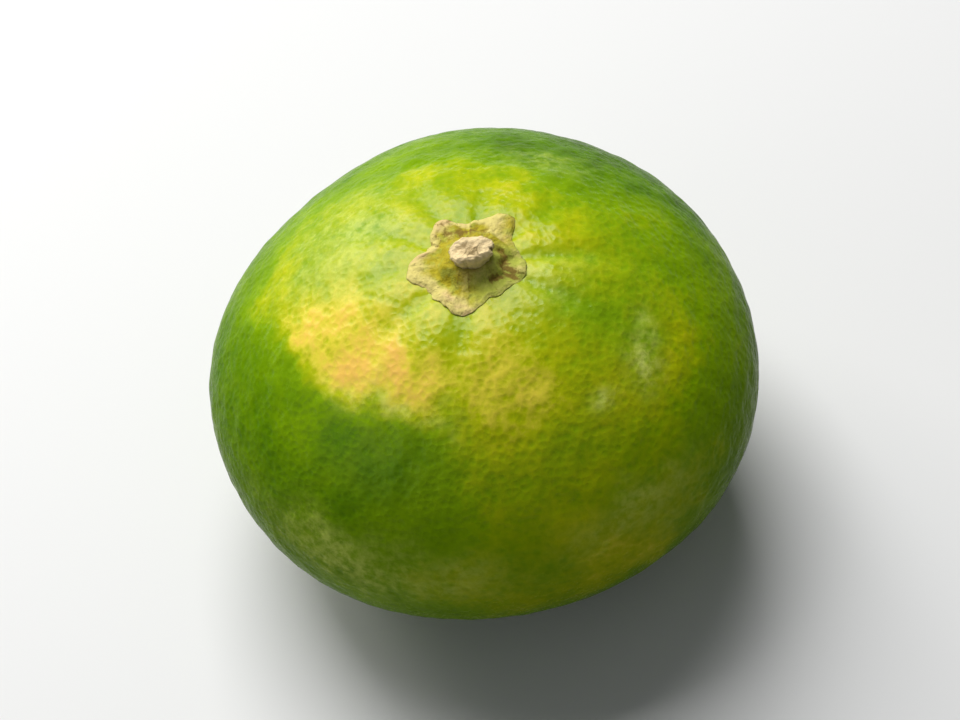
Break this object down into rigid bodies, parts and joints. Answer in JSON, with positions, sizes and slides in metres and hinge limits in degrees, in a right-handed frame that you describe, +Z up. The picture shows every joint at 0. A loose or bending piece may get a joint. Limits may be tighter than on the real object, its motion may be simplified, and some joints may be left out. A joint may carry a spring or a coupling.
{
  "type": "satsuma mandarin",
  "caption": "Whole unpeeled mandarin, flattened and round, green turning yellow, with its five-lobed calyx and a cut stem stub, standing on its blossom end.",
  "frame": {"origin": "middle of the base, on the surface that the fruit rests on", "axes": "+Z up, from the blossom end to the stem end; -Y towards the side that the picture shows"},
  "size_m": [0.061, 0.0589, 0.0473],
  "materials": {
    "rind": "waxy, finely pitted with oil glands, green with yellow and orange patches",
    "calyx": "dry and matt, olive with a pale tan corky rim",
    "cut_stem": "dry pale wood, greyish tan bark round the cut"
  },
  "bodies": {
    "root": {"fruit": "rind", "calyx": "calyx", "stem_stub": "cut_stem"}
  },
  "joints": []
}
